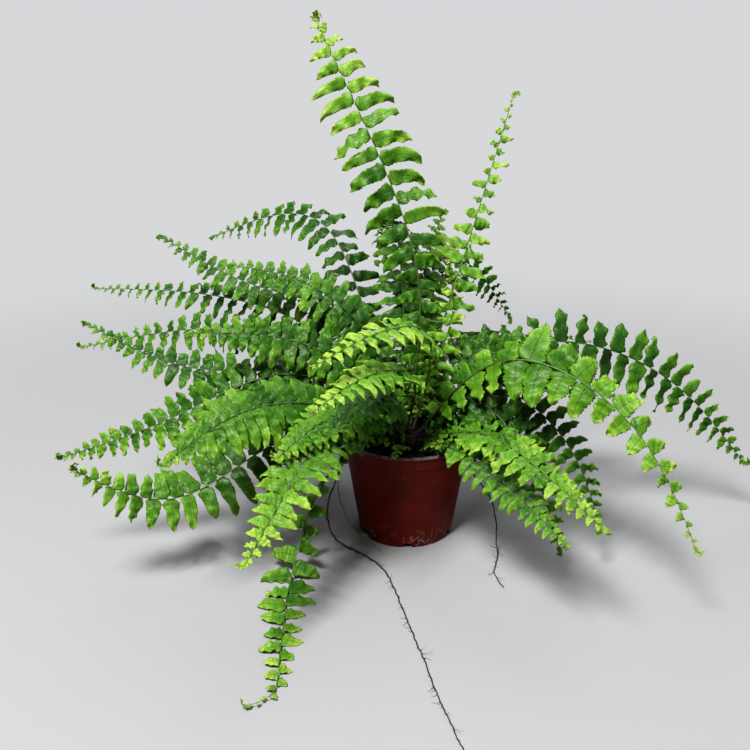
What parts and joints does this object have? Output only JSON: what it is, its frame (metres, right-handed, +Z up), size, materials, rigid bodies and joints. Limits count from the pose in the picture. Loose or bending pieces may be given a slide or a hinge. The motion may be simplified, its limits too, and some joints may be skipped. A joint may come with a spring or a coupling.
{
  "type": "potted fern",
  "caption": "Young sword fern with arching comb-like fronds and trailing runners, growing from a crown in a small tapered plastic nursery pot.",
  "frame": {"origin": "centre of the pot's underside, on the surface that it stands on", "axes": "+Z up along the pot's axis, -Y towards the side the plant is viewed from, +X towards the far right frond"},
  "size_m": [0.4053, 0.3262, 0.2861],
  "materials": {
    "pot_plastic": "satin red-brown moulded plastic, dusty, with root scratches near the base",
    "potting_mix": "moist dark peat and bark crumbs",
    "crown_scales": "scaly brown rhizome",
    "frond_leaf": "glossy green leaflets on a brown-green stalk",
    "young_frond": "soft lime-green young leaflets",
    "runner_skin": "thin brown wiry stem"
  },
  "bodies": {
    "root": {"back_frond": "frond_leaf", "back_high_frond": "frond_leaf", "back_left_arching_frond": "frond_leaf", "back_left_frond": "frond_leaf", "back_left_inner_frond": "frond_leaf", "back_left_long_frond": "frond_leaf", "back_left_low_frond": "frond_leaf", "back_low_frond": "frond_leaf", "back_right_drooping_frond": "frond_leaf", "back_right_frond": "frond_leaf", "back_right_inner_frond": "frond_leaf", "back_right_low_frond": "frond_leaf", "back_right_thin_frond": "frond_leaf", "back_tall_frond": "frond_leaf", "back_upright_frond": "frond_leaf", "crown": "crown_scales", "crozier_back": "young_frond", "crozier_front": "young_frond", "crozier_left": "young_frond", "far_right_frond": "frond_leaf", "front_left_frond": "frond_leaf", "front_left_inner_frond": "frond_leaf", "front_right_frond": "frond_leaf", "front_right_low_frond": "frond_leaf", "front_right_under_frond": "frond_leaf", "front_shaded_frond": "frond_leaf", "grey_root": "runner_skin", "left_far_frond": "frond_leaf", "left_high_frond": "frond_leaf", "left_inner_frond": "frond_leaf", "left_low_frond": "frond_leaf", "left_low_inner_frond": "frond_leaf", "left_lower_back_frond": "frond_leaf", "left_mid_frond": "frond_leaf", "left_shoulder_frond": "frond_leaf", "left_upper_inner_frond": "frond_leaf", "left_wide_frond": "frond_leaf", "lime_lower_frond": "young_frond", "lime_upper_frond": "young_frond", "long_runner": "runner_skin", "nursery_pot": "pot_plastic", "potting_mix": "potting_mix", "right_dark_frond": "frond_leaf", "right_hanging_frond": "frond_leaf", "right_inner_frond": "frond_leaf", "right_low_frond": "frond_leaf", "rim_sprout_centre": "frond_leaf", "rim_sprout_front": "frond_leaf", "rim_sprout_right": "frond_leaf", "short_runner": "runner_skin", "slender_centre_frond": "frond_leaf", "slender_upright_frond": "frond_leaf", "tall_frond": "frond_leaf", "trailing_frond": "frond_leaf"}
  },
  "joints": []
}
